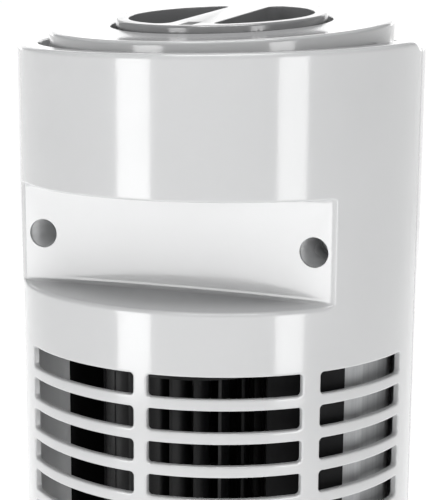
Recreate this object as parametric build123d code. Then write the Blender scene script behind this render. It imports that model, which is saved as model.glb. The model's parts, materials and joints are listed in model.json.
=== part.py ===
"""Ceramic tower heater: a round base, a two-shell tower, a tangential blower, a PTC heating
element and a rotary selector in the sloping top.

Frame: millimetres, +Z up, origin on the floor under the tower axis, front (warm air) to -Y,
rear (air intake, hand recess) to +Y.
"""
from build123d import *
from math import cos, radians, sin
import os

# ---------------------------------------------------------------- driving dimensions
TOWER_R = 78.0            # outside radius of the tower
WALL = 2.5                # moulded wall
SEAM_Y = -2.0             # rear and front shells meet in this plane
SEAM_GAP = 0.3
TOWER_Z = 36.0            # the shells stand here, on the base's shelf

RIM_Z = 564.8             # shoulder plane on the tower axis
RIM_TILT = 3.5            # shoulder plane rises to the front by this angle
FRONT_DROP = 3.0          # the front shell's shoulder is this much lower
SHOULDER_R = 70.5         # inner edge of the shoulder, outer wall of the dark groove
GROOVE_DEPTH = 7.0

LID_Z = 571.1             # lid plane on the tower axis
LID_TILT = 6.1            # the lid rises to the front more steeply than the shoulder
LID_R = 66.0

KNOB_R = 40.8
KNOB_GAP = 2.0            # gap between the knob and its well
KNOB_PROUD = 2.5          # the knob stands this far above the lid
KNOB_WELL = 14.0          # depth of the well in the lid
SWITCH_SCREW_X = 27.0
KNOB_LAND = 5.0           # rim of the knob, outside the finger wells
GRIP_WIDTH = 17.0
FINGER_DEPTH = 11.0

SLOT_PITCH = 12.0
SLOT_OPEN = 8.0
SLOT_TOP = 450.7          # top edge of the highest row
SLOT_ROWS = 28
INNER_SLOT = (1.85, 42.65)     # degrees from the rear centre line
SIDE_SLOT = (47.85, 80.15)     # only on the scroll's side

RECESS_TOP = 511.0        # roof of the hand recess
LEDGE_Z = 474.0           # its floor
RECESS_BACK_Y = 45.5      # its back wall on the centre line
RECESS_BACK_R = 560.0     # the back wall is slightly hollow

SCREW_X = 53.0
SCREW_ZS = (492.0, 74.0)  # upper pair in the recess, lower pair near the base
SCREW_BORE_R = 5.4
SCREW_SEAT_Y = 22.0       # screw heads rest here, at the bottom of their bores
BOSS_R = 7.0
SHANK_R = 2.0

BASE_R = 105.0
FOOT_H = 4.0
PLATE_T = 2.5

FAN_Y = 22.0              # the blower axis stands behind the tower axis
FAN_R = 37.0
FAN_Z0, FAN_Z1 = 112.0, 446.0
BLADES = 26
SHAFT_R = 2.5
RUN = 0.05                # radial clearance of a running fit

HEATER_Y0, HEATER_Y1 = -58.0, -38.0
HEATER_Z0, HEATER_Z1 = 120.0, 440.0
HEATER_HALF = 42.0
TERMINAL_Y = -48.0

INNER_R = TOWER_R - WALL
TALL = 640.0              # longer than the tower, for cutting tools
MID = (Align.CENTER, Align.CENTER, Align.MIN)


# ---------------------------------------------------------------- helpers
def tilted(height, angle):
    """A plane through the tower axis that rises to the front (-Y)."""
    return Plane(origin=(0, 0, height), x_dir=(1, 0, 0), z_dir=(0, sin(radians(angle)), cos(radians(angle))))


RIM = tilted(RIM_Z, RIM_TILT)
LID = tilted(LID_Z, LID_TILT)


def rod(radius, z0, z1, x=0.0, y=0.0):
    """Upright cylinder from z0 to z1."""
    return Pos(x, y, z0) * Cylinder(radius, z1 - z0, align=MID)


def tube(outer, inner, z0, z1, x=0.0, y=0.0):
    return rod(outer, z0, z1, x, y) - rod(inner, z0 - 1, z1 + 1, x, y)


def rod_y(radius, y0, y1, x, z):
    """Cylinder along Y from y0 to y1."""
    return Pos(x, y1, z) * Rot(90, 0, 0) * Cylinder(radius, y1 - y0, align=MID)


def block(x0, x1, y0, y1, z0, z1):
    return Pos((x0 + x1) / 2, (y0 + y1) / 2, z0) * Box(x1 - x0, y1 - y0, z1 - z0, align=MID)


def below(plane, shift=0.0):
    """Everything under a tilted plane, moved along the plane's normal."""
    depth = 800
    return plane * Pos(0, 0, shift - depth) * Box(400, 400, depth, align=MID)


def in_plane(plane, radius, low, high):
    """Cylinder that stands on a tilted plane."""
    return plane * Pos(0, 0, low) * Cylinder(radius, high - low, align=MID)


def polygon(points, z0, z1):
    """Upright prism on a plan outline."""
    return Pos(0, 0, z0) * extrude(make_face(Polyline(*points, close=True)), amount=z1 - z0)


def bent_sheet(points, thickness, radius, z0, z1):
    """Upright metal sheet that follows a plan polyline with rounded bends."""
    line = FilletPolyline(*points, radius=radius)
    band = make_face(offset(line, amount=thickness / 2, kind=Kind.INTERSECTION).edges())
    return Pos(0, 0, z0) * extrude(band, amount=z1 - z0)


def wire(points, bend, radius):
    """Round insulated wire on straight runs joined by arcs."""
    path = FilletPolyline(*points, radius=bend)
    return sweep(Plane(origin=path @ 0, z_dir=path % 0) * Circle(radius), path=path)


def save(node, shape):
    """Write one node; a list of shapes becomes one group of separate solids."""
    solids = [s for item in (shape if isinstance(shape, list) else [shape]) for s in item.solids()]
    export_step(Compound(children=solids) if len(solids) > 1 else solids[0], f"parts/{node}.step")


# ---------------------------------------------------------------- louvres
def slot_cutter(start, end, height, radius_in, radius_out, corner=0.0):
    """One curved opening, between two angles from +Y, with square or rounded corners."""
    outline = [(radius_out * 1.3 * sin(radians(a)), radius_out * 1.3 * cos(radians(a))) for a in (start, end)]
    mid = radians((start + end) / 2)
    far = radius_out * 2
    outline.insert(1, (far * sin(mid), far * cos(mid)))
    wedge = polygon([(0, 0)] + outline, 0, height)
    cutter = wedge & tube(radius_out, radius_in, 0, height)
    if not corner:
        return cutter
    ends = [e for e in cutter.edges().filter_by(GeomType.LINE) if abs(e.tangent_at(0.5).Z) < 0.01]
    return fillet(ends, corner)


def louvres(columns, rows, top, pitch, opening):
    """Cutters for a field of slots."""
    row = [slot_cutter(a, b, opening, INNER_R - 6, TOWER_R + 4) for a, b in columns]
    return [Pos(0, 0, top - opening - i * pitch) * cutter for i in range(rows) for cutter in row]


# ---------------------------------------------------------------- tower shells
def tower_shell(drop):
    """Whole round shell with its turned-in shoulder, before it is parted into halves."""
    rim = tilted(RIM_Z - drop, RIM_TILT)
    solid = rod(TOWER_R, TOWER_Z, TALL) & below(rim)
    solid = fillet(solid.edges().group_by(Axis.Z)[-1], 1.6)
    hollow = rod(INNER_R, TOWER_Z - 1, TALL) & below(rim, -WALL)
    lip = tube(SHOULDER_R + 2.0, SHOULDER_R, 480, TALL) & below(rim, -1.0)
    lip -= below(RIM, -GROOVE_DEPTH + 0.3)
    return solid - hollow - rod(SHOULDER_R, TOWER_Z, TALL) + lip


def recess_space(grow):
    """The hand recess as a solid, with its hollow back wall; it runs out past the round wall."""
    back = rod(RECESS_BACK_R + grow, LEDGE_Z - grow, RECESS_TOP + grow, 0, RECESS_BACK_Y + RECESS_BACK_R)
    return back & block(-90, 90, 0, 120, 0, TALL)


def make_rear_casing():
    half = tower_shell(0.0) - block(-90, 90, -90, SEAM_Y, 0, TALL)
    # both ends of the shoulder step down to the front shell's level
    for side in (-1, 1):
        pad = (tube(TOWER_R - 0.2, SHOULDER_R, 480, TALL) & below(RIM, -1.5)) - below(RIM, -6.0)
        half += pad & block(min(0, side * 90), max(0, side * 90), SEAM_Y, 7.0, 0, TALL)
    step = Plane(origin=(0, 6.0, RIM_Z), x_dir=(1, 0, 0), z_dir=(0, -sin(radians(22)), cos(radians(22))))
    half -= (step * Box(200, 40, 20, align=(Align.CENTER, Align.MAX, Align.MIN))) & below(RIM, 30)
    # hand recess with its own back wall, roof and ledge
    half += recess_space(WALL) & rod(TOWER_R - 1.0, LEDGE_Z - 5, RECESS_TOP + 5)
    # screw towers behind the recess and above the base
    for x in (-SCREW_X, SCREW_X):
        for z in SCREW_ZS:
            boss = rod_y(BOSS_R, SCREW_SEAT_Y - 3, 76, x, z) & rod(TOWER_R - 1, 40, 520)
            half += boss
    half -= recess_space(0.0)
    for x in (-SCREW_X, SCREW_X):
        for z in SCREW_ZS:
            half -= rod_y(SCREW_BORE_R, SCREW_SEAT_Y, 90, x, z)
            half -= rod_y(SHANK_R + 0.25, SCREW_SEAT_Y - 5, SCREW_SEAT_Y + 1, x, z)
    columns = [INNER_SLOT, (-INNER_SLOT[1], -INNER_SLOT[0]), (-SIDE_SLOT[1], -SIDE_SLOT[0])]
    return half - louvres(columns, SLOT_ROWS, SLOT_TOP, SLOT_PITCH, SLOT_OPEN)


WINDOW_ANGLE = 38.0       # half angle of the outlet window
WINDOW_Z0, WINDOW_Z1 = 112.0, 452.0
GRILLE_T = 3.0


def window_cutter(angle, z0, z1, radius_in, radius_out):
    cutter = slot_cutter(180 - angle, 180 + angle, z1 - z0, radius_in, radius_out, corner=6.0)
    return Pos(0, 0, z0) * cutter


def make_front_casing():
    half = tower_shell(FRONT_DROP) - block(-90, 90, SEAM_Y - SEAM_GAP, 90, 0, TALL)
    for x in (-SCREW_X, SCREW_X):
        for z in SCREW_ZS:
            boss = rod_y(BOSS_R, -76, SCREW_SEAT_Y - 3.2, x, z) & rod(TOWER_R - 1, 40, 520)
            half += boss
            half -= rod_y(SHANK_R + RUN, SCREW_SEAT_Y - 24, SCREW_SEAT_Y, x, z)
    return half - window_cutter(WINDOW_ANGLE, WINDOW_Z0, WINDOW_Z1, INNER_R - 6, TOWER_R + 4)


def make_front_grille():
    """Curved outlet grille that clips into the front window."""
    panel = window_cutter(WINDOW_ANGLE - 0.25, WINDOW_Z0 + 0.3, WINDOW_Z1 - 0.3, INNER_R - GRILLE_T + 1.5,
                          TOWER_R - 0.8)
    columns = [(180 + a, 180 + a + 17.0) for a in (-36.2, -17.7, 0.7, 19.2)]
    return panel - louvres(columns, 27, WINDOW_Z1 - 5, 12.3, 9.3)


# ---------------------------------------------------------------- top
def make_top_panel():
    """Raised lid with the knob's well, its skirt, and the flange that floors the groove."""
    outer = rod(LID_R, 540, TALL) & below(LID)
    outer = fillet(outer.edges().group_by(Axis.Z)[-1], 1.2)
    cavity = rod(LID_R - WALL, 520, TALL) & below(LID, -WALL)
    flange = rod(SHOULDER_R + 4.0, 520, TALL) & (below(RIM, -GROOVE_DEPTH) - below(RIM, -GROOVE_DEPTH - WALL))
    flange -= rod(LID_R - WALL, 500, TALL)
    well_r = KNOB_R + KNOB_GAP
    panel = outer - cavity - below(RIM, -GROOVE_DEPTH - WALL) + flange
    panel += in_plane(LID, well_r + WALL, -KNOB_WELL - WALL, -WALL / 2)
    panel -= in_plane(LID, well_r, -KNOB_WELL, 10)
    for x in (-SWITCH_SCREW_X, SWITCH_SCREW_X):
        panel -= LID * Pos(x, 0, -KNOB_WELL - 5) * Cylinder(1.7, 10, align=MID)
    return panel - in_plane(LID, 8.0, -KNOB_WELL - 5, 0)


def knob_finger_wells():
    """Two D-shaped wells either side of the grip."""
    wells = []
    for side in (-1, 1):
        pocket = Cylinder(KNOB_R - KNOB_LAND, FINGER_DEPTH + 5, align=MID)
        edge = side * (GRIP_WIDTH / 2 + 60)
        pocket &= Pos(edge, 0, 0) * Box(120, 120, 60)
        pocket = fillet(pocket.edges().filter_by(Axis.Z), 4.0)
        pocket = fillet(pocket.edges().group_by(Axis.Z)[0], 2.5)
        wells.append(LID * Pos(0, 0, KNOB_PROUD - FINGER_DEPTH) * pocket)
    return wells


POINTER = (5.0, 10.0, 0.8)     # width, length and depth of the mark let into the grip
POINTER_AT = (0, KNOB_R - 8.5, KNOB_PROUD - POINTER[2])


def make_knob():
    body = in_plane(LID, KNOB_R, -KNOB_WELL + 2.5, KNOB_PROUD)
    body = fillet(body.edges().group_by(Axis.Z)[-1], 1.0)
    body += in_plane(LID, 7.0, -KNOB_WELL - 1.8, -KNOB_WELL + 3)
    for pocket in knob_finger_wells():
        body -= pocket
    body -= LID * Pos(*POINTER_AT) * Box(*POINTER[:2], 5, align=MID)
    return body - in_plane(LID, 3.0, -KNOB_WELL - 5, -4.0)


def make_pointer():
    size = (POINTER[0] - 0.1, POINTER[1] - 0.1, POINTER[2])
    return LID * Pos(*POINTER_AT) * Box(*size, align=MID)


SWITCH_TOP = -KNOB_WELL - WALL - 1.5       # top face of the switch, in the lid's frame


def make_switch_bracket():
    plate = LID * Pos(0, 0, SWITCH_TOP) * Box(64, 22, 1.5, align=MID)
    plate -= in_plane(LID, 5.0, -40, 0)
    for x in (-SWITCH_SCREW_X, SWITCH_SCREW_X):
        plate -= LID * Pos(x, 0, SWITCH_TOP - 5) * Cylinder(1.8, 20, align=MID)
    return plate


def make_rotary_switch():
    body = LID * Pos(0, 0, SWITCH_TOP - 20) * Box(36, 36, 20, align=MID)
    body += in_plane(LID, 4.8, SWITCH_TOP - 1, SWITCH_TOP + 1.7)
    tabs = [LID * Pos(x, 0, SWITCH_TOP - 27) * Box(0.8, 6, 8, align=MID) for x in (-12, -4, 4, 12)]
    for tab in tabs:
        body += tab
    return body - in_plane(LID, 3.0 + RUN, SWITCH_TOP - 14, 0)


def make_switch_shaft():
    return in_plane(LID, 3.0, SWITCH_TOP - 13, -4.0)


def screw(at, radius, shank, head_r, head_h):
    """Pan-head screw, head up, seat at z = 0."""
    body = Cylinder(head_r, head_h, align=MID) + Pos(0, 0, -shank) * Cylinder(radius, shank, align=MID)
    body = fillet(body.edges().group_by(Axis.Z)[-1], head_h * 0.35)
    cross = Box(head_r, 0.9, head_h, align=MID) + Box(0.9, head_r, head_h, align=MID)
    slot = Pos(0, 0, head_h * 0.5) * cross
    return at * (body - slot)


def make_switch_screws():
    upright = [LID * Pos(x, 0, SWITCH_TOP) * Rot(180, 0, 0) for x in (-SWITCH_SCREW_X, SWITCH_SCREW_X)]
    return [screw(at, 1.6, 3.0, 3.0, 2.0) for at in upright]


def make_casing_screws():
    spots = [Pos(x, SCREW_SEAT_Y, z) * Rot(-90, 0, 0) for x in (-SCREW_X, SCREW_X) for z in SCREW_ZS]
    return [screw(at, SHANK_R, 20.0, 4.2, 3.0) for at in spots]


# ---------------------------------------------------------------- base
TIP_HOLE_R = 4.6
SHELF_R = 68.0            # inner edge of the shelf that the tower stands on
FEET = [(82 * sin(radians(a)), 82 * cos(radians(a))) for a in (45, 135, 225, 315)]
BASE_SCREWS = [(70 * sin(radians(a)), 70 * cos(radians(a))) for a in (25, 155, 205, 335)]
GLAND_Z = 15.4


def make_base_shell():
    """Low round cover with a shelf and collar that hold the tower."""
    skirt = Polyline((BASE_R, FOOT_H), (BASE_R, 24))
    shoulder = Bezier((BASE_R, 24), (BASE_R, 31), (98, 34.5), (TOWER_R + 6, 37))
    collar = [(TOWER_R + 6, 37), (TOWER_R + 2.8, 42), (TOWER_R + 0.3, 42), (TOWER_R + 0.3, TOWER_Z),
              (SHELF_R, TOWER_Z), (SHELF_R, TOWER_Z - WALL), (TOWER_R + 5, TOWER_Z - WALL)]
    inner_wall = BASE_R - WALL
    underside = Bezier(collar[-1], (96, 31.5), (inner_wall, 29), (inner_wall, 23))
    inside = Polyline((inner_wall, 23), (inner_wall, FOOT_H), (BASE_R, FOOT_H))
    edges = [*skirt.edges(), shoulder, *Polyline(*collar).edges(), underside, *inside.edges()]
    profile = make_face(Wire(edges))
    shell = revolve(Plane.XZ * profile, Axis.Z)
    for x, y in BASE_SCREWS:
        shell += tube(4.5, 1.55, FOOT_H + PLATE_T, TOWER_Z - 2, x, y)
    return shell - rod_y(6.1, 90, 120, 0, GLAND_Z)


def make_bottom_plate():
    plate = rod(BASE_R - WALL - 0.2, FOOT_H, FOOT_H + PLATE_T) - rod(TIP_HOLE_R, 0, 20)
    for x, y in BASE_SCREWS:
        plate -= rod(1.8, 0, 20, x, y)
    for x, y in FEET:
        plate -= rod(3.2, 0, 20, x, y)
    return plate


def make_feet():
    feet = []
    for x, y in FEET:
        pad = rod(10, 0, FOOT_H, x, y)
        pad = fillet(pad.edges().group_by(Axis.Z)[0], 1.0)
        feet.append(pad + rod(3.1, FOOT_H - 1, FOOT_H + PLATE_T, x, y) + rod(4.4, FOOT_H + PLATE_T, 8, x, y))
    return feet


def make_base_screws():
    flip = Rot(180, 0, 0)
    return [screw(Pos(x, y, FOOT_H) * flip, 1.5, 16.0, 3.2, 2.2) for x, y in BASE_SCREWS]


def make_ballast():
    ring = tube(55, 24, FOOT_H + PLATE_T, FOOT_H + PLATE_T + 8)
    return fillet(ring.edges().group_by(Axis.Z)[-1], 0.8)


def make_tip_switch():
    body = block(-14, 14, -6, 6, FOOT_H + PLATE_T, 27) - rod(3.0 + RUN, 0, 20.5)
    for x in (-9, 0, 9):
        body += block(x - 0.4, x + 0.4, -2.5, 2.5, 27, 32)
    return body - rod(5.2, 0, 11.5)


def make_tip_plunger():
    return rod(3.0, 1.0, 20.0) + fillet(rod(4.3, 0, 6.0).edges().group_by(Axis.Z)[0], 1.0)


def make_cord_gland():
    gland = rod_y(6.0, 97, BASE_R - 0.4, 0, GLAND_Z) + rod_y(8.4, 96, 101.8, 0, GLAND_Z)
    return gland - rod_y(3.5, 90, 120, 0, GLAND_Z)


def make_terminal_block():
    body = block(-18, 18, 60, 76, FOOT_H + PLATE_T, 20)
    for x in (-12, 0, 12):
        body -= rod(2.2, 12, 30, x, 68)
    return body


def make_terminal_screws():
    return [screw(Pos(x, 68, 14.5), 1.4, 2.5, 2.1, 1.6) for x in (-12, 0, 12)]


# ---------------------------------------------------------------- blower
LOOM_X, LOOM_Y = 63.2, 4.0
DECK_Z = 98.0             # lower blower plate
CEILING_Z = 452.0         # upper blower plate
DECK_T = 2.0
POSTS = [(-30, -46), (30, -46), (0, 66)]


def make_tower_floor():
    """Plate across the foot of the tower that carries the motor."""
    plate = rod(INNER_R - 0.3, TOWER_Z, TOWER_Z + 3)
    return plate - rod(7, 0, 60, LOOM_X, LOOM_Y) - rod(10, 0, 60)


def make_posts():
    return [rod(4, TOWER_Z + 3, DECK_Z, x, y) for x, y in POSTS]


def blower_plate(z):
    return rod(INNER_R - 1.0, z, z + DECK_T) - rod(6, z - 5, z + 5, LOOM_X, LOOM_Y)


def make_blower_deck():
    return blower_plate(DECK_Z) - rod(7, 0, 200, 0, FAN_Y)


def make_blower_ceiling():
    plate = blower_plate(CEILING_Z) - rod(9.0, 300, 500, 0, FAN_Y)
    for x in PTC_XS:
        plate -= rod(2.2, 300, 500, x, TERMINAL_Y)
    return plate


def make_fan_wheel():
    """Tangential wheel: forward-curved blades between discs."""
    inner, mean, outer = FAN_R - 9, FAN_R - 4.5, FAN_R
    def at(radius, angle):
        return (radius * sin(angle), radius * cos(angle))
    blade = ThreePointArc(at(inner, 0), at(mean, radians(2.0)), at(outer, radians(9.0)))
    back = ThreePointArc(at(outer, radians(7.2)), at(mean, radians(-0.3)), at(inner, radians(-2.4)))
    face = make_face(Wire([blade, Line(blade @ 1, back @ 0), back, Line(back @ 1, blade @ 0)]))
    vane = extrude(face, amount=FAN_Z1 - FAN_Z0)
    vanes = [Rot(0, 0, 360 / BLADES * i) * vane for i in range(BLADES)]
    height = FAN_Z1 - FAN_Z0
    rings = [tube(outer - 0.4, inner - 1, height * i / 6 - 0.75, height * i / 6 + 0.75) for i in range(1, 6)]
    ends = [rod(outer, 0, 2), rod(outer, height - 2, height)]
    hubs = [rod(8, 0, 12), rod(8, height - 12, height)]
    wheel = rings[0] + rings[1:] + ends + hubs + vanes
    wheel -= rod(SHAFT_R, -1, 13)
    wheel -= rod(SHAFT_R, height - 13, height + 1)
    return Pos(0, FAN_Y, FAN_Z0) * wheel


def make_motor_shaft():
    return rod(SHAFT_R, 44, FAN_Z0 + 12, 0, FAN_Y)


def make_top_shaft():
    return rod(SHAFT_R, FAN_Z1 - 12, CEILING_Z + 9, 0, FAN_Y)


def make_top_bearing():
    """Bronze bush in the upper plate."""
    return tube(6.0, SHAFT_R + RUN, CEILING_Z - 1, CEILING_Z + 7, 0, FAN_Y)


def make_bearing_mount():
    """Rubber ring that holds the bush in the upper plate."""
    ring = tube(9.0, 6.0, CEILING_Z - 1, CEILING_Z + 7, 0, FAN_Y)
    return ring + tube(12.0, 6.0, CEILING_Z + DECK_T, CEILING_Z + 5, 0, FAN_Y)


STATOR_Z0, STATOR_Z1 = 56.0, 76.0
ROTOR_R = 15.0


def make_stator():
    """Laminated shaded-pole core with a window for its coil."""
    core = block(-34, 34, FAN_Y - 24, FAN_Y + 24, STATOR_Z0, STATOR_Z1)
    core -= rod(ROTOR_R + 0.4, 0, 100, 0, FAN_Y)
    return core - block(20, 28, FAN_Y - 15, FAN_Y + 15, 0, 100)


def make_coil():
    """Winding round the core's outer limb."""
    coil = block(20.6, 41, FAN_Y - 14, FAN_Y + 14, STATOR_Z0 - 7, STATOR_Z1 + 7)
    coil = fillet(coil.edges().filter_by(Axis.Y), 3.0)
    return coil - block(27.9, 34.1, FAN_Y - 20, FAN_Y + 20, STATOR_Z0 - 0.1, STATOR_Z1 + 0.1)


def make_rotor():
    return tube(ROTOR_R, SHAFT_R, STATOR_Z0 - 1, STATOR_Z1 + 1, 0, FAN_Y)


def motor_bridge(z):
    bridge = block(-10, 10, FAN_Y - 27, FAN_Y + 27, z, z + 2)
    return bridge - rod(4.5, z - 5, z + 5, 0, FAN_Y)


def make_motor_brackets():
    """Two pressed bridges, and the legs that carry the motor on the floor plate."""
    low, high = 47.0, 84.0
    pieces = motor_bridge(low) + motor_bridge(high)
    for y in (FAN_Y - 27, FAN_Y + 25):
        pieces += block(-10, 10, y, y + 2, TOWER_Z + 3, high)
    return pieces


def make_motor_bearings():
    low = tube(4.5, SHAFT_R + RUN, 46, 50, 0, FAN_Y)
    high = tube(4.5, SHAFT_R + RUN, 83, 87, 0, FAN_Y)
    return [low, high]


def make_scroll():
    """Galvanised sheet that turns the air from the side round to the heater."""
    points = [(-57, 41), (-66, 30), (-71, 10), (-67, -12), (-56, -28), (-43.2, -37)]
    return bent_sheet(points, 0.8, 8, DECK_Z + DECK_T, CEILING_Z)


def make_tongue():
    """Plain sheet on the other side, from the casing to the heater."""
    points = [(66, 33), (47, 27), (41.5, 14), (43.2, -37)]
    return bent_sheet(points, 0.8, 5, DECK_Z + DECK_T, CEILING_Z)


def make_inlet_guide():
    """Black moulding between the wheel and the scroll's rear edge."""
    points = [(-38, 52), (-48, 48), (-54.2, 44.3)]
    return bent_sheet(points, 2.0, 14, DECK_Z + DECK_T, CEILING_Z)


# ---------------------------------------------------------------- heating element
PTC_XS = (-22.0, 0.0, 22.0)
PTC_HALF = 3.0
FIN_T = 0.5


def make_heater_frame():
    frame = block(-HEATER_HALF, HEATER_HALF, HEATER_Y0, HEATER_Y1, HEATER_Z0, HEATER_Z1)
    window = block(-35, 35, HEATER_Y0 - 1, HEATER_Y1 + 1, HEATER_Z0 + 9, HEATER_Z1 - 9)
    return frame - window


def make_ptc_bars():
    """Ceramic heating bars, each a stack of stones in one insulated strip."""
    y0, y1 = HEATER_Y0 + 4, HEATER_Y1 - 4
    return [block(x - PTC_HALF, x + PTC_HALF, y0, y1, HEATER_Z0 + 9.2, HEATER_Z1 - 9.2) for x in PTC_XS]


def fin_strip(x0, x1):
    """Corrugated aluminium strip that fills one gap between bars."""
    pitch = 7.0
    low = HEATER_Z0 + 11
    count = int((HEATER_Z1 - HEATER_Z0 - 22) / pitch)
    outer = [(x0 if i % 2 else x1 - 1.2, low + i * pitch / 2) for i in range(2 * count + 1)]
    return_side = [(x + 1.2, z) for x, z in reversed(outer)]
    strip = Plane.XZ * make_face(Polyline(*outer, *return_side, close=True))
    return Pos(0, HEATER_Y0 + 16, 0) * extrude(strip, amount=12)


def make_fins():
    gaps = [(-34.8, -25.1), (-18.9, -3.1), (3.1, 18.9), (25.1, 34.8)]
    return [fin_strip(a, b) for a, b in gaps]


def make_terminals():
    """Spade terminals at the top of the bars."""
    return [block(x - 3, x + 3, TERMINAL_Y - 0.4, TERMINAL_Y + 0.4, HEATER_Z1, HEATER_Z1 + 9) for x in PTC_XS]


def make_heater_brackets():
    """Angles that hang the heater between the two blower plates."""
    low = block(-30, 30, HEATER_Y0 + 2, HEATER_Y1 - 2, DECK_Z + DECK_T, HEATER_Z0)
    low -= block(-27, 27, HEATER_Y0, HEATER_Y1, DECK_Z + DECK_T + 2, HEATER_Z0 - 2)
    return low


def make_cutout():
    """Thermal cut-out on the heater's top bar."""
    body = rod(8, HEATER_Z1, HEATER_Z1 + 7, -11, -48)
    return body + block(-12.5, -9.5, -50, -46, HEATER_Z1 + 7, HEATER_Z1 + 10)


# ---------------------------------------------------------------- wiring
def make_main_loom():
    """Sleeved mains wires from the terminal block up to the selector."""
    points = [(12, 68, 23), (26, 56, 25), (56, 20, 25), (LOOM_X, LOOM_Y, 27), (LOOM_X, LOOM_Y, 510),
              (40, 2, 520), (14, 0, 522)]
    return wire(points, 7.5, 2.6)


def make_heater_wires():
    wires = []
    for x in PTC_XS:
        points = [(x, TERMINAL_Y, HEATER_Z1 + 9.2), (x, TERMINAL_Y, 478), (x * 0.6, -26, 504),
                  (x * 0.4, -12, 522)]
        wires.append(wire(points, 10, 1.3))
    return wires


def make_motor_lead():
    points = [(41.2, FAN_Y, 64), (54, FAN_Y, 64), (55, 12, 55), (42, 10, 43), (16, 6, 42)]
    return wire(points, 4.5, 1.3)


# ---------------------------------------------------------------- build
PARTS = {
    "base_shell": make_base_shell,
    "base_bottom_plate": make_bottom_plate,
    "rubber_feet": make_feet,
    "base_screws": make_base_screws,
    "ballast_ring": make_ballast,
    "tip_switch_body": make_tip_switch,
    "tip_switch_plunger": make_tip_plunger,
    "cord_gland": make_cord_gland,
    "terminal_block": make_terminal_block,
    "terminal_screws": make_terminal_screws,
    "tower_floor": make_tower_floor,
    "blower_posts": make_posts,
    "rear_casing": make_rear_casing,
    "front_casing": make_front_casing,
    "front_grille": make_front_grille,
    "casing_screws": make_casing_screws,
    "top_panel": make_top_panel,
    "selector_knob": make_knob,
    "knob_pointer": make_pointer,
    "switch_shaft": make_switch_shaft,
    "rotary_switch": make_rotary_switch,
    "switch_bracket": make_switch_bracket,
    "switch_screws": make_switch_screws,
    "blower_deck": make_blower_deck,
    "blower_ceiling": make_blower_ceiling,
    "fan_wheel": make_fan_wheel,
    "motor_shaft": make_motor_shaft,
    "top_stub_shaft": make_top_shaft,
    "top_bearing_bush": make_top_bearing,
    "bearing_rubber_mount": make_bearing_mount,
    "motor_stator": make_stator,
    "motor_coil": make_coil,
    "motor_rotor": make_rotor,
    "motor_brackets": make_motor_brackets,
    "motor_bearings": make_motor_bearings,
    "scroll_sheet": make_scroll,
    "tongue_sheet": make_tongue,
    "inlet_guide": make_inlet_guide,
    "heater_frame": make_heater_frame,
    "ptc_bars": make_ptc_bars,
    "heater_fins": make_fins,
    "heater_terminals": make_terminals,
    "heater_bracket": make_heater_brackets,
    "thermal_cutout": make_cutout,
    "main_loom": make_main_loom,
    "heater_wires": make_heater_wires,
    "motor_lead": make_motor_lead,
}

os.makedirs("parts", exist_ok=True)
for node, make in PARTS.items():
    save(node, make())
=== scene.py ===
"""Ceramic tower heater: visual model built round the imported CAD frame. Metres, +Z up, front to -Y."""
import json
from math import cos, degrees, exp, log1p, pi, radians, sin, sqrt, tan

import bmesh
import bpy
from mathutils import Matrix, Vector


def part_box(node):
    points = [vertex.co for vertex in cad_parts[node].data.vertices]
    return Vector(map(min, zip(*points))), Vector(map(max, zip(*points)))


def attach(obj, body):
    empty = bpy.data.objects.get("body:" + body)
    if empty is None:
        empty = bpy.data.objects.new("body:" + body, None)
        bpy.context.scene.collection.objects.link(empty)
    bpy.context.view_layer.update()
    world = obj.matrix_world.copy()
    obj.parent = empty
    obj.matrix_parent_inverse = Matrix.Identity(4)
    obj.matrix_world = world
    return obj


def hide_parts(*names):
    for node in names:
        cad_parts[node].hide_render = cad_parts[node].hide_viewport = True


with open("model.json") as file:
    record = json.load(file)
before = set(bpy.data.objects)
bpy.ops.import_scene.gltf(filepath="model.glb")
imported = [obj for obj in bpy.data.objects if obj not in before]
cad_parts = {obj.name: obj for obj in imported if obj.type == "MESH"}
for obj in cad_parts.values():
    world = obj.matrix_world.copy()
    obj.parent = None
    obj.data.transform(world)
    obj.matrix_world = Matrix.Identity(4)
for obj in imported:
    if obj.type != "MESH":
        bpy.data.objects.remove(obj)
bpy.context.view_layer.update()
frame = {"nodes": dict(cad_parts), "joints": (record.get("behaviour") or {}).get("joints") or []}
nodes = frame["nodes"]
MM = 0.001

# ---------------------------------------------------------------- sizes, from the frame where it has them
casing_lo, casing_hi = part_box("rear_casing")
TOWER_R = casing_hi.y
TOWER_Z = casing_lo.z
WALL = 2.5 * MM
SEAM_Y = casing_lo.y
TURN = next(j for j in frame["joints"] if j["name"] == "selector_turn")
LID_Z = TURN["pos_m"][2]
LID_SLOPE = TURN["axis"][1] / TURN["axis"][2]      # rise per metre towards the front
RIM_Z = 564.8 * MM
RIM_SLOPE = tan(radians(3.5))
FRONT_DROP = 3.0 * MM
SHOULDER_R, LIP_WALL = 70.5 * MM, 2 * MM
GROOVE = 7.0 * MM
LID_R = 66.0 * MM

SLOT_PITCH, SLOT_OPEN, SLOT_TOP, SLOT_ROWS = 12 * MM, 8 * MM, 450.7 * MM, 28
COLUMNS = ((-80.15, -47.85), (-42.65, -1.85), (1.85, 42.65))
SLOT_CORNER = 1.5 * MM
LIP = 0.55 * MM                                     # rounding round every slot

RECESS_TOP, LEDGE_Z = 511.0 * MM, 474.0 * MM
BACK_Y, BACK_R = 45.5 * MM, 560.0 * MM              # the recess's hollow back wall
# degrees from the rear centre line: close grid lines where the back wall runs out into the round one
RECESS_MARKS = (49.4, 50.1, 50.6, 50.9, 51.2, 51.5, 51.8, 52.2, 52.7, 53.4)
SCREW_X, SCREW_ZS = 53.0 * MM, (492 * MM, 74 * MM)
BORE_R, BORE_SEAT_Y = 5.4 * MM, 22 * MM
SCREW_TOWER_R, SHANK_HOLE_R = 7.0 * MM, 2.25 * MM


# ---------------------------------------------------------------- node materials
def nodes_of(name):
    material = bpy.data.materials.new(name)
    material.use_nodes = True
    tree = material.node_tree
    shader = tree.nodes["Principled BSDF"]
    return material, tree, shader


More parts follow.
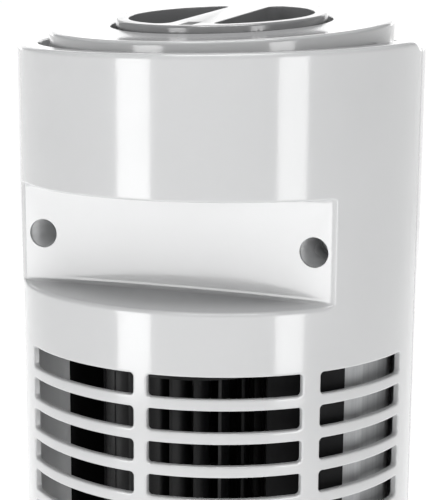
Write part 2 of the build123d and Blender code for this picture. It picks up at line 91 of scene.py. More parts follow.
def noise(tree, scale, detail=3.0, stretch=(1, 1, 1)):
    """Noise in object space, so it stays on the surface in every view."""
    where = tree.nodes.new("ShaderNodeTexCoord")
    mapping = tree.nodes.new("ShaderNodeMapping")
    mapping.inputs["Scale"].default_value = stretch
    texture = tree.nodes.new("ShaderNodeTexNoise")
    texture.inputs["Scale"].default_value = scale
    texture.inputs["Detail"].default_value = detail
    tree.links.new(where.outputs["Object"], mapping.inputs["Vector"])
    tree.links.new(mapping.outputs["Vector"], texture.inputs["Vector"])
    return texture.outputs["Fac"]


def ramp(tree, value, low, high):
    """Colour or grey that follows a noise value, which lies mostly between 0.3 and 0.7."""
    node = tree.nodes.new("ShaderNodeValToRGB")
    for stop, place, tone in zip(node.color_ramp.elements, (0.3, 0.7), (low, high)):
        stop.position = place
        stop.color = (*tone, 1) if isinstance(tone, tuple) else (tone, tone, tone, 1)
    tree.links.new(value, node.inputs["Fac"])
    return node.outputs["Color"]


def bump(tree, shader, value, depth, after=None):
    """Relief of a depth in metres, on top of an earlier bump where one is given."""
    node = tree.nodes.new("ShaderNodeBump")
    node.inputs["Distance"].default_value = depth
    node.inputs["Strength"].default_value = 1.0
    tree.links.new(value, node.inputs["Height"])
    if after is not None:
        tree.links.new(after, node.inputs["Normal"])
    tree.links.new(node.outputs["Normal"], shader.inputs["Normal"])
    return node.outputs["Normal"]


def moulded(name, low, high, rough, coat=0.0, grain=0.02 * MM, specular=0.5):
    """Moulded plastic: faint drift in tone and gloss, faint surface waviness, fine grain."""
    material, tree, shader = nodes_of(name)
    tree.links.new(ramp(tree, noise(tree, 14.0), low, high), shader.inputs["Base Color"])
    tree.links.new(ramp(tree, noise(tree, 40.0, 4.0), *rough), shader.inputs["Roughness"])
    shader.inputs["Coat Weight"].default_value = coat
    shader.inputs["Coat Roughness"].default_value = 0.08
    shader.inputs["Specular IOR Level"].default_value = specular
    waves = bump(tree, shader, noise(tree, 55.0, 1.0), 0.06 * MM)
    bump(tree, shader, noise(tree, 900.0, 2.0), grain, after=waves)
    return material


def metal(name, low, high, rough, stretch=(1, 1, 1), scale=60.0, depth=0.03 * MM, metallic=1.0):
    """Rolled, cast or drawn metal, with streaks along its grain."""
    material, tree, shader = nodes_of(name)
    shader.inputs["Metallic"].default_value = metallic
    streaks = noise(tree, scale, 5.0, stretch)
    tree.links.new(ramp(tree, streaks, low, high), shader.inputs["Base Color"])
    tree.links.new(ramp(tree, noise(tree, scale * 1.7, 4.0, stretch), *rough), shader.inputs["Roughness"])
    bump(tree, shader, streaks, depth)
    return material


# plastics
SHELL = moulded("white_abs", (0.455, 0.458, 0.462), (0.475, 0.478, 0.482), (0.10, 0.16), coat=0.35)
LID_WHITE = moulded("white_abs_lid", (0.43, 0.433, 0.437), (0.45, 0.453, 0.457), (0.09, 0.14), coat=0.45)
KNOB = moulded("satin_abs_knob", (0.20, 0.202, 0.205), (0.23, 0.232, 0.235), (0.12, 0.18), coat=0.5)
# the bore white is painted light: much lighter than the shell's own white, to lift the shade deep inside
# the screw bores
PAINTED_LIGHT_BORE = moulded("white_abs_bore", (0.76, 0.765, 0.77), (0.80, 0.805, 0.81), (0.20, 0.30), coat=0.1)
INK = moulded("dark_inlay", (0.02, 0.02, 0.022), (0.035, 0.035, 0.037), (0.35, 0.5))
BASE = moulded("white_abs_base", (0.45, 0.453, 0.457), (0.47, 0.473, 0.477), (0.12, 0.2), coat=0.3)
GREY = moulded("grey_nylon", (0.16, 0.165, 0.17), (0.21, 0.215, 0.22), (0.42, 0.6), grain=0.06 * MM)
DEEP_BLACK = (0.003, 0.003, 0.0035), (0.006, 0.006, 0.0065)
BLACK = moulded("black_nylon", *DEEP_BLACK, (0.42, 0.62), specular=0.12)
BLACK_FAN = moulded("black_fan", *DEEP_BLACK, (0.30, 0.5), specular=0.25)
GRILLE = moulded("grille_abs", (0.10, 0.104, 0.108), (0.14, 0.145, 0.15), (0.30, 0.42), grain=0.04 * MM)
RUBBER = moulded("black_rubber", (0.012, 0.012, 0.012), (0.022, 0.022, 0.022), (0.7, 0.9), grain=0.12 * MM)
SILICONE = moulded("wire_silicone", (0.55, 0.54, 0.51), (0.64, 0.63, 0.60), (0.45, 0.6))
CERAMIC = moulded("ptc_bar", (0.36, 0.33, 0.28), (0.46, 0.43, 0.38), (0.55, 0.75), grain=0.1 * MM)

# metals; a small stretch draws the streaks out along that axis
ZINC = metal("galvanised_sheet", (0.27, 0.275, 0.28), (0.38, 0.386, 0.392), (0.40, 0.55),
             stretch=(1, 1, 0.01), scale=420, depth=0.01 * MM, metallic=0.45)
DARK = metal("coated_steel", (0.50, 0.503, 0.507), (0.62, 0.624, 0.63), (0.4, 0.6),
             stretch=(1, 1, 0.1), scale=70, metallic=0.3)
SCREW = metal("plated_screw", (0.42, 0.42, 0.43), (0.60, 0.60, 0.61), (0.25, 0.42), scale=300)
IRON = metal("cast_iron", (0.05, 0.05, 0.05), (0.10, 0.10, 0.10), (0.6, 0.85), scale=220, depth=0.2 * MM)
COPPER = metal("enamelled_copper", (0.36, 0.12, 0.04), (0.58, 0.24, 0.09), (0.25, 0.45),
               stretch=(0.02, 1, 1), scale=900)
STEEL = metal("laminated_steel", (0.12, 0.12, 0.13), (0.26, 0.26, 0.27), (0.35, 0.6),
              stretch=(0.02, 0.02, 1), scale=1500, depth=0.1 * MM)
BRONZE = metal("sintered_bronze", (0.34, 0.20, 0.08), (0.50, 0.32, 0.14), (0.4, 0.6), scale=400)
FIN = metal("fin_aluminium", (0.62, 0.63, 0.64), (0.78, 0.79, 0.80), (0.25, 0.4),
            stretch=(1, 0.1, 1), scale=200)

# finishes of the CAD nodes that stay; the others are replaced below
CAD_FINISH = {
    BLACK: "heater_frame tip_switch_plunger",
    BLACK_FAN: "fan_wheel",
    GREY: "base_bottom_plate tip_switch_body terminal_block rotary_switch thermal_cutout",
    RUBBER: "rubber_feet cord_gland bearing_rubber_mount",
    ZINC: "scroll_sheet switch_bracket motor_brackets heater_terminals heater_bracket",
    DARK: "tower_floor blower_deck blower_ceiling",
    SCREW: "base_screws terminal_screws blower_posts casing_screws switch_shaft switch_screws motor_shaft "
           "top_stub_shaft",
    IRON: "ballast_ring",
    COPPER: "motor_coil",
    STEEL: "motor_stator motor_rotor",
    BRONZE: "top_bearing_bush motor_bearings",
    CERAMIC: "ptc_bars",
    FIN: "heater_fins",
    SILICONE: "main_loom heater_wires motor_lead",
    INK: "knob_pointer",
}
for finish, names in CAD_FINISH.items():
    for name in names.split():
        mesh = nodes[name].data
        mesh.materials.clear()
        mesh.materials.append(finish)


# ---------------------------------------------------------------- mesh helpers
WELD = 0.002 * MM          # points this close are one point
SMOOTH_BELOW = radians(42)
ROUND_STEPS = 48           # segments of a bore


def mesh_piece(name, sheet, material, replaced):
    """A smooth-shaded piece on the housing that stands for CAD nodes."""
    mesh = bpy.data.meshes.new(name)
    mesh.from_pydata(sheet.verts, [], sheet.faces)
    work = bmesh.new()
    work.from_mesh(mesh)
    bmesh.ops.remove_doubles(work, verts=work.verts, dist=WELD)
    bmesh.ops.dissolve_degenerate(work, edges=work.edges, dist=WELD / 2)
    bmesh.ops.recalc_face_normals(work, faces=work.faces)
    work.to_mesh(mesh)
    work.free()
    return finish_piece(name, mesh, material, "housing", replaced)


def finish_piece(name, mesh, material, body, replaced):
    """Gives a mesh its material and its place in the frame, as a new object."""
    mesh.materials.clear()
    mesh.materials.append(material)
    mesh.shade_smooth()
    mesh.set_sharp_from_angle(angle=SMOOTH_BELOW)
    piece = bpy.data.objects.new(name, mesh)
    bpy.context.scene.collection.objects.link(piece)
    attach(piece, body)
    if replaced:
        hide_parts(*replaced)
    return piece


def softened(node, material, body):
    """A CAD shape carried over with rounded edges."""
    work = bmesh.new()
    work.from_mesh(nodes[node].data)
    bmesh.ops.remove_doubles(work, verts=work.verts, dist=WELD)
    bmesh.ops.dissolve_limit(work, angle_limit=radians(0.4), verts=work.verts, edges=work.edges)
    mesh = bpy.data.meshes.new(node + "_soft")
    work.to_mesh(mesh)
    work.free()
    piece = finish_piece(node + "_soft", mesh, material, body, (node,))
    rounding = piece.modifiers.new("rounding", "BEVEL")
    rounding.width, rounding.segments, rounding.limit_method = 0.3 * MM, 2, "ANGLE"
    rounding.angle_limit = radians(50)
    rounding.harden_normals = True
    return piece


def rounded(points, radii, count=5):
    """Polyline in which each inner point is replaced by a quadratic bend of count points."""
    line = [points[0]]
    for before, corner, after, radius in zip(points, points[1:], points[2:], radii):
        legs = [(Vector(p) - Vector(corner)) for p in (before, after)]
        start, end = [Vector(corner) + leg.normalized() * min(radius, leg.length * 0.48) for leg in legs]
        for i in range(count):
            t = i / (count - 1)
            line.append(tuple((1 - t) ** 2 * start + 2 * t * (1 - t) * Vector(corner) + t * t * end))
    return line + [points[-1]]


def spread(start, end, count):
    """Evenly spaced numbers from start to end, both included."""
    return [start + (end - start) * i / count for i in range(count + 1)]


def cylinder_point(angle, radius, z):
    """Point at an angle in degrees from +Y (rear), positive towards +X."""
    return (radius * sin(radians(angle)), radius * cos(radians(angle)), z)


def rim_z(y, drop=0.0):
    """Height of the tower's shoulder, which rises to the front."""
    return RIM_Z - drop - RIM_SLOPE * y


def lid_z(y):
    return LID_Z - LID_SLOPE * y


def flat(y):
    return 0.0


# ---------------------------------------------------------------- louvred shells
HOLD = 0.35 * MM           # spacing of the loops that keep flat stretches flat beside a rounding


class Louvre:
    """One column of slots in the round wall: a grid cell round each slot, with a rounded lip."""
    HALF = 3               # segments in half a corner

    def __init__(self, cell, slot, corner, marks):
        self.cell, self.slot, self.corner = cell, slot, corner
        self.per_metre = degrees(1 / TOWER_R)
        reach = corner * self.per_metre
        self.straight = (slot[0] + reach, slot[1] - reach)
        closest = 0.2      # degrees between a mark and the slot's corner
        inner = [m for m in marks if self.straight[0] + closest < m < self.straight[1] - closest]
        self.marks = [self.straight[0]] + inner + [self.straight[1]]

    def lines(self):
        """Angles of the vertical grid lines across the cell."""
        left = [self.cell[0] + (self.marks[0] - self.cell[0]) * i / self.HALF for i in range(self.HALF)]
        right = [self.marks[-1] + (self.cell[1] - self.marks[-1]) * i / self.HALF
                 for i in range(1, self.HALF + 1)]
        return left + self.marks + right

    def heights(self, low, high, slot_low, slot_high):
        """Heights of the grid lines on a cell's sides, downwards."""
        top, bottom = slot_high - self.corner, slot_low + self.corner
        upper = [high + (top - high) * i / self.HALF for i in range(self.HALF)]
        lower = [bottom + (low - bottom) * i / self.HALF for i in range(1, self.HALF + 1)]
        return upper + [top, (top + bottom) / 2, bottom] + lower

    def frame_loop(self, low, high, slot_low, slot_high, radius):
        """Outline of the cell, with as many points as the slot's outline."""
        across, down = self.lines(), self.heights(low, high, slot_low, slot_high)
        loop = [(a, high) for a in across[:-1]] + [(across[-1], z) for z in down[:-1]]
        loop += [(a, low) for a in across[:0:-1]] + [(across[0], z) for z in down[:0:-1]]
        return [cylinder_point(a, radius, z) for a, z in loop]

    def slot_loop(self, slot_low, slot_high, radius, outset):
        """Rounded outline of the slot, grown by outset."""
        top, bottom = slot_high - self.corner, slot_low + self.corner
        reach = self.corner + outset
        middle = (top + bottom) / 2
        left, right = self.straight
        side_left = self.slot[0] - outset * self.per_metre
        side_right = self.slot[1] + outset * self.per_metre
        sides = (
            (135, (left, top), [(m, slot_high + outset) for m in self.marks], (right, top)),
            (45, (right, top), [(side_right, z) for z in (top, middle, bottom)], (right, bottom)),
            (-45, (right, bottom), [(m, slot_low - outset) for m in reversed(self.marks)], (left, bottom)),
            (-135, (left, bottom), [(side_left, z) for z in (bottom, middle, top)], (left, top)),
        )
        loop = []
        for start, first, straight, last in sides:
            turns = [(first, start - 45 * i / self.HALF) for i in range(self.HALF)]
            loop += [self.turn_point(centre, angle, reach) for centre, angle in turns]
            loop += straight
            turns = [(last, start - 45 - 45 * i / self.HALF) for i in range(1, self.HALF)]
            loop += [self.turn_point(centre, angle, reach) for centre, angle in turns]
        return [cylinder_point(a, radius, z) for a, z in loop]

    def turn_point(self, centre, angle, reach):
        """Point of a rounded corner, as (degrees round the tower, height)."""
        across, up = reach * cos(radians(angle)), reach * sin(radians(angle))
        return (centre[0] + across * self.per_metre, centre[1] + up)

    def build(self, low, high, slot_low, slot_high, sheet):
        """Rings from the cell's outer frame over the lip, through the wall, to its inner frame."""
        slot = (slot_low, slot_high)
        deep = TOWER_R - WALL
        rings = [self.frame_loop(low, high, *slot, TOWER_R), self.slot_loop(*slot, TOWER_R, LIP + HOLD)]
        for turn in (0, 30, 60, 90):
            outset = LIP * (1 - sin(radians(turn)))
            rings.append(self.slot_loop(*slot, TOWER_R - LIP * (1 - cos(radians(turn))), outset))
        rings.append(self.slot_loop(*slot, TOWER_R - LIP - HOLD, 0))
        rings.append(self.slot_loop(*slot, deep + HOLD, 0))
        rings.append(self.slot_loop(*slot, deep, HOLD))
        rings.append(self.frame_loop(low, high, *slot, deep))
        sheet.rings(rings)


class Sheet:
    """Collects grids of quads."""

    def __init__(self):
        self.verts, self.faces = [], []

    def add(self, points):
        start = len(self.verts)
        self.verts += points
        return list(range(start, len(self.verts)))

    def strip(self, a, b, closed=False):
        """Quads between two rows of points, given by their indices."""
        steps = range(len(a) if closed else len(a) - 1)
        for i in steps:
            j = (i + 1) % len(a)
            self.faces.append((a[i], a[j], b[j], b[i]))

    def rings(self, rings, closed=True):
        """Skin between successive rows of points."""
        index = [self.add(ring) for ring in rings]
        for a, b in zip(index, index[1:]):
            self.strip(a, b, closed)

    def cap(self, loop):
        """One flat face."""
        self.faces.append(tuple(self.add(loop)))


def louvred_shell(columns, edges, corner, rows, top, pitch, opening, marks, above):
    """The tower's round wall with columns of slots. above(angle) gives the outer and inner profile over the
    slots, as (radius, z) points from the top down; edges are the wall's two side angles, and marks the
    angles of further grid lines."""
    sheet = Sheet()
    deep = TOWER_R - WALL
    rib = (pitch - opening) / 2
    bounds = [(a[1] + b[0]) / 2 for a, b in zip(columns, columns[1:])]
    side_rib = degrees(2.2 * MM / TOWER_R)
    cells = list(zip([columns[0][0] - side_rib] + bounds, bounds + [columns[-1][1] + side_rib]))
    louvres = [Louvre(cell, slot, corner, marks) for cell, slot in zip(cells, columns)]
    row_spans = [(top + rib - (i + 1) * pitch, top + rib - i * pitch) for i in range(rows)]
    for low, high in row_spans:
        for louvre in louvres:
            louvre.build(low, high, low + rib, high - rib, sheet)
    # plain margins between the slots and the wall's side edges
    down = [row_spans[0][1]]
    for low, high in row_spans:
        down += louvres[0].heights(low, high, low + rib, high - rib)[1:]
    margins = (side_lines(edges[0], cells[0][0]), side_lines(edges[1], cells[-1][1])[::-1])
    for margin in margins:
        for r in (TOWER_R, deep):
            grid = [[cylinder_point(a, eased(r, a, edges), z) for a in margin] for z in down]
            sheet.rings(grid, closed=False)
    across = margins[0] + [a for louvre in louvres for a in louvre.lines()[1:]] + margins[1][1:]
    # the wall above and below the slots, outer and inner skin in one loop for each line
    below = row_spans[-1][0]
    over, under = [], []
    for a in across:
        outer, inner = above(a)
        outer = [cylinder_point(a, eased(r, a, edges), z) for r, z in outer + [(TOWER_R, down[0])]]
        inner = [cylinder_point(a, r, z) for r, z in inner + [(deep, down[0])]]
        over.append(inner[::-1] + outer)
        under.append([cylinder_point(a, eased(TOWER_R, a, edges), z) for z in (below, TOWER_Z)]
                     + [cylinder_point(a, deep, z) for z in (TOWER_Z, below)])
    sheet.rings(over, closed=False)
    sheet.rings(under, closed=False)
    for angle, upper, lower in ((across[0], over[0], under[0]), (across[-1], over[-1], under[-1])):
        outer = [cylinder_point(angle, eased(TOWER_R, angle, edges), z) for z in down]
        inner = [cylinder_point(angle, deep, z) for z in down]
        sheet.rings([outer, inner], closed=False)
        sheet.cap(upper)
        sheet.cap(lower)
    return sheet


def side_lines(edge, inner):
    """Grid lines from a shell's side edge inwards, close together at the rounded edge."""
    widest = 2.2           # degrees between lines on the plain wall
    sign = 1 if inner > edge else -1
    near = [edge + sign * step for step in (0, 0.12, 0.3, 0.55)]
    start, count = near[-1], max(2, int(abs(inner - near[-1]) / widest))
    return near + [start + (inner - start) * i / count for i in range(1, count + 1)]


def eased(r, angle, edges):
    """Rounds the outer skin over at the shell's side edges."""
    if r < TOWER_R - 0.1 * MM:
        return r
    ease = 0.42 * MM
    gap = radians(min(abs(angle - edge) for edge in edges)) * TOWER_R
    if gap >= ease:
        return r
    return r - ease + sqrt(ease ** 2 - (ease - gap) ** 2)


def seam_drop(angle):
    """The rear shell's rim eases down to the front shell's level beside the seam."""
    start, length = 84.5, 6.0
    t = min(max((abs(angle) - start) / length, 0.0), 1.0)
    return FRONT_DROP * t * t * (3 - 2 * t)


def shoulder(angle, drop):
    """Turned-in shoulder of a tower shell: a function of radius and shift that gives its points, and its
    lip's lower end in the groove."""
    def at(radius, shift):
        return (radius, rim_z(radius * cos(radians(angle)), drop) + shift)
    lip_end = (SHOULDER_R, rim_z(SHOULDER_R * cos(radians(angle))) - GROOVE + 0.3 * MM)
    return at, lip_end


def profile(points, radii):
    """Rounded profile with holding points beside each bend."""
    line = rounded(points, radii)
    held = [line[0]]
    for a, b in zip(line, line[1:]):
        a, b = Vector(a), Vector(b)
        if (b - a).length > 4 * HOLD:
            step = (b - a).normalized() * HOLD
            held += [tuple(a + step), tuple(b - step)]
        else:
            held += [tuple(a + (b - a) / 3), tuple(a + (b - a) * 2 / 3)]
        held.append(tuple(b))
    return held


def rear_above(angle):
    """Outer and inner profile of the rear shell from its shoulder to the slots, with the hand recess."""
    at, lip_end = shoulder(angle, seam_drop(angle))
    back = recess_radius(angle)
    ledge_fall, full_depth = 0.8 * MM, 6 * MM
    ledge_out = LEDGE_Z - ledge_fall * min(1.0, (TOWER_R - back) / full_depth)
    outer = profile(
        [lip_end, at(SHOULDER_R, 0), at(TOWER_R, 0), (TOWER_R, RECESS_TOP), (back, RECESS_TOP + 0.1 * MM),
         (back, LEDGE_Z), (TOWER_R, ledge_out), (TOWER_R, LEDGE_Z - 9 * MM)],
        [0.6 * MM, 1.7 * MM, 0.9 * MM, 2.4 * MM, 1.8 * MM, 1.6 * MM])
    skin, lip_back = TOWER_R - WALL, SHOULDER_R + LIP_WALL
    inner = [(lip_back, lip_end[1]), at(lip_back, -WALL), at(skin, -WALL),
             (skin, RECESS_TOP + WALL), (min(skin, back - WALL), RECESS_TOP + WALL),
             (min(skin, back - WALL), LEDGE_Z - WALL), (skin, LEDGE_Z - WALL)]
    return outer, inner


def recess_radius(angle):
    """Distance from the axis to the recess's back wall, eased into the round wall at its ends."""
    past_recess = 60       # degrees
    if abs(angle) > past_recess:
        return TOWER_R
    centre = BACK_Y + BACK_R
    arc = centre * cos(radians(angle)) - sqrt(BACK_R ** 2 - (centre * sin(radians(angle))) ** 2)
    ease, far = 0.55 * MM, 30
    gap = (TOWER_R - arc) / ease
    return TOWER_R - ease * (gap if gap > far else log1p(exp(gap)))


def front_above(angle):
    """Outer and inner profile of the front shell over its outlet."""
    at, lip_end = shoulder(angle, FRONT_DROP)
    outer = profile([lip_end, at(SHOULDER_R, 0), at(TOWER_R, 0), (TOWER_R, LEDGE_Z)], [0.6 * MM, 1.7 * MM])
    lip_back = SHOULDER_R + LIP_WALL
    inner = [(lip_back, lip_end[1]), at(lip_back, -WALL), at(TOWER_R - WALL, -WALL)]
    return outer, inner


def cylinder_mesh(radius, start, end):
    """Closed cylinder between two points, for cutting."""
    start, end = Vector(start), Vector(end)
    axis = end - start
    work = bmesh.new()
    bmesh.ops.create_cone(work, cap_ends=True, segments=ROUND_STEPS, radius1=radius, radius2=radius,
                          depth=axis.length)
    turn = axis.to_track_quat("Z", "Y").to_matrix().to_4x4()
    bmesh.ops.transform(work, matrix=Matrix.Translation((start + end) / 2) @ turn, verts=work.verts)
    mesh = bpy.data.meshes.new("cutter")
    work.to_mesh(mesh)
    work.free()
    return mesh


def cut(piece, cutters):
    """Subtracts closed meshes from a piece, with the result applied and the new edges left sharp."""
    for mesh in cutters:
        tool = bpy.data.objects.new("cutter", mesh)
        bpy.context.scene.collection.objects.link(tool)
        boolean = piece.modifiers.new("cut", "BOOLEAN")
        boolean.operation, boolean.object, boolean.solver = "DIFFERENCE", tool, "EXACT"
        evaluated = piece.evaluated_get(bpy.context.evaluated_depsgraph_get())
        result = bpy.data.meshes.new_from_object(evaluated)
        piece.modifiers.clear()
        piece.data = result
        bpy.data.objects.remove(tool)
    piece.data.shade_smooth()
    piece.data.set_sharp_from_angle(angle=radians(30))


def bore_liner(sheet, x, z, mouth):
    """Screw tower behind a bore: its wall, its floor and the hole for the shank."""
    def ring(radius, y_at):
        turns = [2 * pi * i / ROUND_STEPS for i in range(ROUND_STEPS)]
        spots = [(x + radius * cos(turn), z + radius * sin(turn)) for turn in turns]
        return [(across, y_at(across), up) for across, up in spots]

    def seat(across):
        return BORE_SEAT_Y

    def seat_back(across):
        return BORE_SEAT_Y - 3 * MM

    sheet.rings([ring(BORE_R, mouth), ring(BORE_R, seat), ring(SHANK_HOLE_R, seat),
                 ring(SHANK_HOLE_R, seat_back), ring(SCREW_TOWER_R, seat_back), ring(SCREW_TOWER_R, mouth),
                 ring(BORE_R, mouth)])


MOUTH_DEPTH = 1 * MM       # a screw tower meets its wall this far under the skin


def recess_mouth(x):
    """The recess's back wall, just under its skin."""
    return BACK_Y + BACK_R - sqrt(BACK_R ** 2 - x ** 2) - MOUTH_DEPTH


def wall_mouth(x):
    """The round wall, just under its skin."""
    return sqrt((TOWER_R - MOUTH_DEPTH) ** 2 - x ** 2)


def make_rear_shell():
    """Rear half shell with its louvres, hand recess and four screw bores."""
    edge = degrees(pi / 2 + abs(SEAM_Y) / TOWER_R)
    marks = spread(-80, 80, 72) + [side * mark for side in (-1, 1) for mark in RECESS_MARKS]
    sheet = louvred_shell(COLUMNS, (-edge, edge), SLOT_CORNER, SLOT_ROWS, SLOT_TOP, SLOT_PITCH, SLOT_OPEN,
                          sorted(marks), rear_above)
    shell = mesh_piece("rear_shell", sheet, SHELL, ("rear_casing",))
    spots = [(side * SCREW_X, z) for side in (-1, 1) for z in SCREW_ZS]
    inner_end, outer_end = BORE_SEAT_Y + 2 * MM, TOWER_R + 17 * MM
    cut(shell, [cylinder_mesh(BORE_R, (x, inner_end, z), (x, outer_end, z)) for x, z in spots])
    towers = Sheet()
    for x, z in spots:
        bore_liner(towers, x, z, recess_mouth if z > LEDGE_Z else wall_mouth)
    mesh_piece("rear_screw_towers", towers, PAINTED_LIGHT_BORE, ())


def make_front_shell():
    """Front half shell, whose outlet is one tall slot."""
    seam_gap = 0.3 * MM
    edge = degrees(pi / 2 + (abs(SEAM_Y) + seam_gap) / TOWER_R)
    outlet = (142, 218)
    top, height, rib = 452 * MM, 340 * MM, 4 * MM
    sheet = louvred_shell([outlet], (edge, 360 - edge), 6 * MM, 1, top, height + rib, height,
                          spread(*outlet, 38), front_above)
    mesh_piece("front_shell", sheet, SHELL, ("front_casing",))


# ---------------------------------------------------------------- blower sheets seen through the slots
def upright_sheet(name, points, thickness, material, replaced):
    """Bent sheet on a plan line, as tall as the CAD node that it stands for."""
    lo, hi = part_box(replaced)
    bend = 5 * MM
    line = rounded(points, [bend] * (len(points) - 2), 7)
    sides = ([], [])
    for i, here in enumerate(line):
        before, after = Vector(line[max(i - 1, 0)]), Vector(line[min(i + 1, len(line) - 1)])
        along = (after - before).normalized() * thickness / 2
        sides[0].append((here[0] - along.y, here[1] + along.x))
        sides[1].append((here[0] + along.y, here[1] - along.x))
    outline = sides[0] + sides[1][::-1]
    sheet = Sheet()
    sheet.rings([[(x, y, z) for x, y in outline] for z in (lo.z, hi.z)])
    count = len(line)
    for z in (lo.z, hi.z):
        index = sheet.add([(x, y, z) for x, y in outline])
        sheet.strip(index[:count], index[:count - 1:-1])
    return mesh_piece(name, sheet, material, (replaced,))


def make_blower_sheets():
    """The tongue, whose part past its first bend is given black as painted shade for that shadowed part of
    the sheet, and the moulding beside the scroll.
    """
    line = [(66 * MM, 33 * MM), (52.5 * MM, 29 * MM), (43.2 * MM, 14 * MM), (43.2 * MM, -37 * MM)]
    tongue = upright_sheet("tongue", line, 0.8 * MM, DARK, "tongue_sheet")
    # the black second material on the tongue is painted shade: the sheet past its first bend lies in shadow
    # inside the blower
    tongue.data.materials.append(BLACK)
    painted_shade_from = 52.2 * MM
    for face in tongue.data.polygons:
        face.material_index = int(face.center.x < painted_shade_from)
    line = [(-38 * MM, 52 * MM), (-48 * MM, 48 * MM), (-55.8 * MM, 44.4 * MM), (-61.8 * MM, 37.6 * MM)]
    upright_sheet("inlet_edge", line, 2.0 * MM, BLACK, "inlet_guide")


# ---------------------------------------------------------------- round parts
def lathe(rows):
    """Closed skin through rows of points, each row a function of the angle round the tower axis."""
    segments = 160
    sheet = Sheet()
    sheet.rings([[row(2 * pi * i / segments) for i in range(segments)] for row in rows + rows[:1]])
    return sheet


def on_plane(radius, shift, height):
    """Row of a lathe at a fixed radius, on a plane that slopes along Y."""
    def row(turn):
        x, y = radius * sin(turn), radius * cos(turn)
        return (x, y, height(y) + shift)
    return row


def make_lid():
    """Raised lid: knob well, dished top, side wall, groove floor, and a flange under the shoulder."""
    well, floor, dish, flange = 42.8 * MM, -14 * MM, 0.55 * MM, SHOULDER_R + 4 * MM
    shaft_hole = 8 * MM

    def top_row(r, z):
        share = min(max((r - well) / (LID_R - well), 0), 1)
        sunk = dish * sin(pi * share) if z > -0.3 * MM else 0
        return on_plane(r, z - sunk, lid_z)

    line = profile([(well, floor), (well, 0), (LID_R, 0), (LID_R, -30 * MM)], [0.7 * MM, 1.5 * MM])
    middle = (well + LID_R) / 2
    well_edge = [(r, z) for r, z in line if r < middle]
    outer_edge = [(r, z) for r, z in line if r > middle and z > -2 * MM]
    steps = 10
    between = [(well + 1.1 * MM + (LID_R - 2.8 * MM - well) * i / steps, 0) for i in range(1, steps)]
    top = [top_row(r, z) for r, z in well_edge + between + outer_edge]
    skirt = [on_plane(LID_R, -2.6 * MM, lid_z), on_plane(LID_R, -GROOVE + 0.9 * MM, rim_z),
             on_plane(LID_R + 0.25 * MM, -GROOVE + 0.25 * MM, rim_z),
             on_plane(LID_R + 0.9 * MM, -GROOVE, rim_z), on_plane(flange, -GROOVE, rim_z),
             on_plane(flange, -GROOVE - WALL, rim_z), on_plane(LID_R - WALL, -GROOVE - WALL, rim_z)]
    under_top = -WALL - 1 * MM
    inside = [on_plane(LID_R - WALL, under_top, lid_z), on_plane(well + WALL, under_top, lid_z),
              on_plane(well + WALL, floor - WALL, lid_z), on_plane(shaft_hole, floor - WALL, lid_z),
              on_plane(shaft_hole, floor, lid_z)]
    mesh_piece("lid", lathe(top + skirt + inside), LID_WHITE, ("top_panel",))


def bezier(points, steps=14):
    """Points along a cubic curve."""
    rows = []
    for i in range(steps + 1):
        t = i / steps
        weights = ((1 - t) ** 3, 3 * t * (1 - t) ** 2, 3 * t * t * (1 - t), t ** 3)
        rows.append(tuple(sum(w * p[k] for w, p in zip(weights, points)) for k in (0, 1)))
    return rows


def make_base():
    """Low round base with a soft shoulder, the collar that holds the tower, and the cord inlet's hole."""
    lo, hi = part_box("base_shell")
    radius, foot, collar = hi.x, lo.z, hi.z
    inside, shelf = radius - WALL, 68 * MM
    clear = TOWER_R + 0.3 * MM
    outline = [(radius - 0.8 * MM, foot), (radius - 0.25 * MM, foot + 0.25 * MM), (radius, foot + 0.8 * MM),
               (radius, foot + 2 * MM)]
    outline += bezier([(radius, 24 * MM), (radius, 31 * MM), (98 * MM, 34.5 * MM),
                       (TOWER_R + 6 * MM, 37 * MM)])
    outline += [(TOWER_R + 4.6 * MM, 37.9 * MM), (TOWER_R + 3.6 * MM, 39.5 * MM),
                (TOWER_R + 2.9 * MM, 41.2 * MM), (TOWER_R + 2.3 * MM, collar), (TOWER_R + 0.7 * MM, collar),
                (clear, collar - 0.4 * MM), (clear, TOWER_Z), (shelf, TOWER_Z), (shelf, TOWER_Z - WALL)]
    outline += bezier([(TOWER_R + 5 * MM, TOWER_Z - WALL), (96 * MM, 31.5 * MM), (inside, 29 * MM),
                       (inside, 23 * MM)])
    outline += [(inside, foot)]
    rows = [on_plane(r, z, flat) for r, z in outline]
    base = mesh_piece("base_cover", lathe(rows), BASE, ("base_shell",))
    gland_lo, gland_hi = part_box("cord_gland")
    inlet_z, inlet_r = (gland_lo.z + gland_hi.z) / 2, 6.1 * MM
    cut(base, [cylinder_mesh(inlet_r, (0, radius - 15 * MM, inlet_z), (0, radius + 15 * MM, inlet_z))])


# ---------------------------------------------------------------- camera, light, floor
AZIMUTH = radians(200.791)
AWAY = Vector((sin(AZIMUTH), -cos(AZIMUTH), 0))       # level direction from the tower axis to the camera
SIDE = Vector((-AWAY.y, AWAY.x, 0))


def make_camera():
    """Long lens just above the rim, looking slightly down on the upper rear."""
    distance, height = 504.7 * MM, 570.45 * MM
    pitch, yaw, roll = 0.17455, -0.00294, 0.00652
    forward = (-AWAY * cos(yaw) + SIDE * sin(yaw)) * cos(pitch) - Vector((0, 0, sin(pitch)))
    level = forward.cross(Vector((0, 0, 1))).normalized()
    upright = level.cross(forward)
    right = level * cos(roll) + upright * sin(roll)
    up = upright * cos(roll) - level * sin(roll)
    data = bpy.data.cameras.new("camera")
    data.sensor_width, data.lens = 36.0, 92.86
    data.clip_start, data.clip_end = 0.01, 50
    camera = bpy.data.objects.new("camera", data)
    turn = Matrix((right, up, -forward)).transposed().to_4x4()
    camera.matrix_world = Matrix.Translation(AWAY * distance + Vector((0, 0, height))) @ turn
    bpy.context.scene.collection.objects.link(camera)
    bpy.context.scene.camera = camera


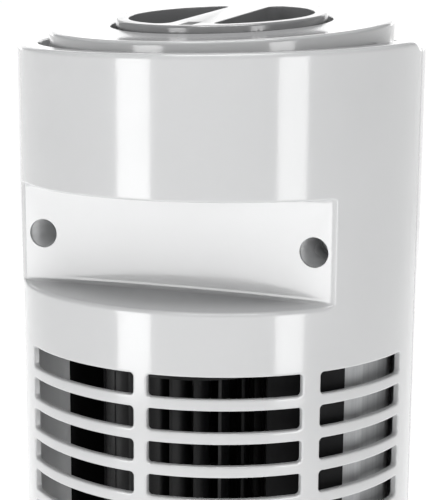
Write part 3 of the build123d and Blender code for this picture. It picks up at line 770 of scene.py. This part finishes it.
def area_light(name, place, target, size, power):
    data = bpy.data.lights.new(name, "AREA")
    data.shape, data.energy = "RECTANGLE", power
    data.size, data.size_y = size
    light = bpy.data.objects.new(name, data)
    light.location = place
    light.rotation_mode = "QUATERNION"
    light.rotation_quaternion = (Vector(place) - Vector(target)).to_track_quat("Z", "Y")
    light.visible_camera = False
    bpy.context.scene.collection.objects.link(light)


def make_lights():
    """Two upright strips for the long highlights, a lamp overhead, and a card behind for the lid's top."""
    strip_distance, strip_z, strip_height = 1.4, 0.42, 0.74
    for name, angle, width, power in (("left_strip", -47, 0.48, 6.2), ("right_strip", 38, 0.40, 4.4)):
        level = AWAY * cos(radians(angle)) + SIDE * sin(radians(angle))
        place = level * strip_distance + Vector((0, 0, strip_z))
        area_light(name, place, (0, 0, strip_z), (width, strip_height), power)
    top = (0, 0, 0.57)
    area_light("overhead", AWAY * 0.25 + Vector((0, 0, 1.9)), top, (0.9, 0.9), 20.0)
    area_light("backdrop", AWAY * -2.6 + Vector((0, 0, 1.25)), top, (3.6, 1.3), 18.0)


def make_world():
    """Bright at the horizon, darker above."""
    bpy.context.scene.view_settings.view_transform = "Standard"
    world = bpy.data.worlds.new("studio")
    world.use_nodes = True
    tree = world.node_tree
    where = tree.nodes.new("ShaderNodeTexCoord")
    split = tree.nodes.new("ShaderNodeSeparateXYZ")
    tree.links.new(where.outputs["Generated"], split.inputs["Vector"])
    fade = tree.nodes.new("ShaderNodeValToRGB")
    for stop, place, tone in zip(fade.color_ramp.elements, (0.03, 0.16), (1.0, 0.16)):
        stop.position = place
        stop.color = (tone, tone, tone, 1)
    tree.links.new(split.outputs["Z"], fade.inputs["Fac"])
    tree.links.new(fade.outputs["Color"], tree.nodes["Background"].inputs["Color"])
    tree.nodes["Background"].inputs["Strength"].default_value = 1.02
    bpy.context.scene.world = world


def make_floor():
    """Pale floor that glows a little, so that it stays white round the object."""
    half = 30.0
    mesh = bpy.data.meshes.new("floor")
    mesh.from_pydata([(-half, -half, 0), (half, -half, 0), (half, half, 0), (-half, half, 0)], [],
                     [(0, 1, 2, 3)])
    material, tree, shader = nodes_of("pale_floor")
    tone = ramp(tree, noise(tree, 3.0), (0.86, 0.86, 0.86), (0.89, 0.89, 0.89))
    tree.links.new(tone, shader.inputs["Base Color"])
    shader.inputs["Roughness"].default_value = 0.8
    shader.inputs["Emission Color"].default_value = (1, 1, 1, 1)
    shader.inputs["Emission Strength"].default_value = 0.88
    mesh.materials.append(material)
    floor = bpy.data.objects.new("floor", mesh)
    bpy.context.scene.collection.objects.link(floor)


make_camera()
make_world()
make_floor()
make_lights()
make_rear_shell()
make_front_shell()
make_blower_sheets()
make_lid()
make_base()
softened("selector_knob", KNOB, "selector")
softened("front_grille", GRILLE, "housing")
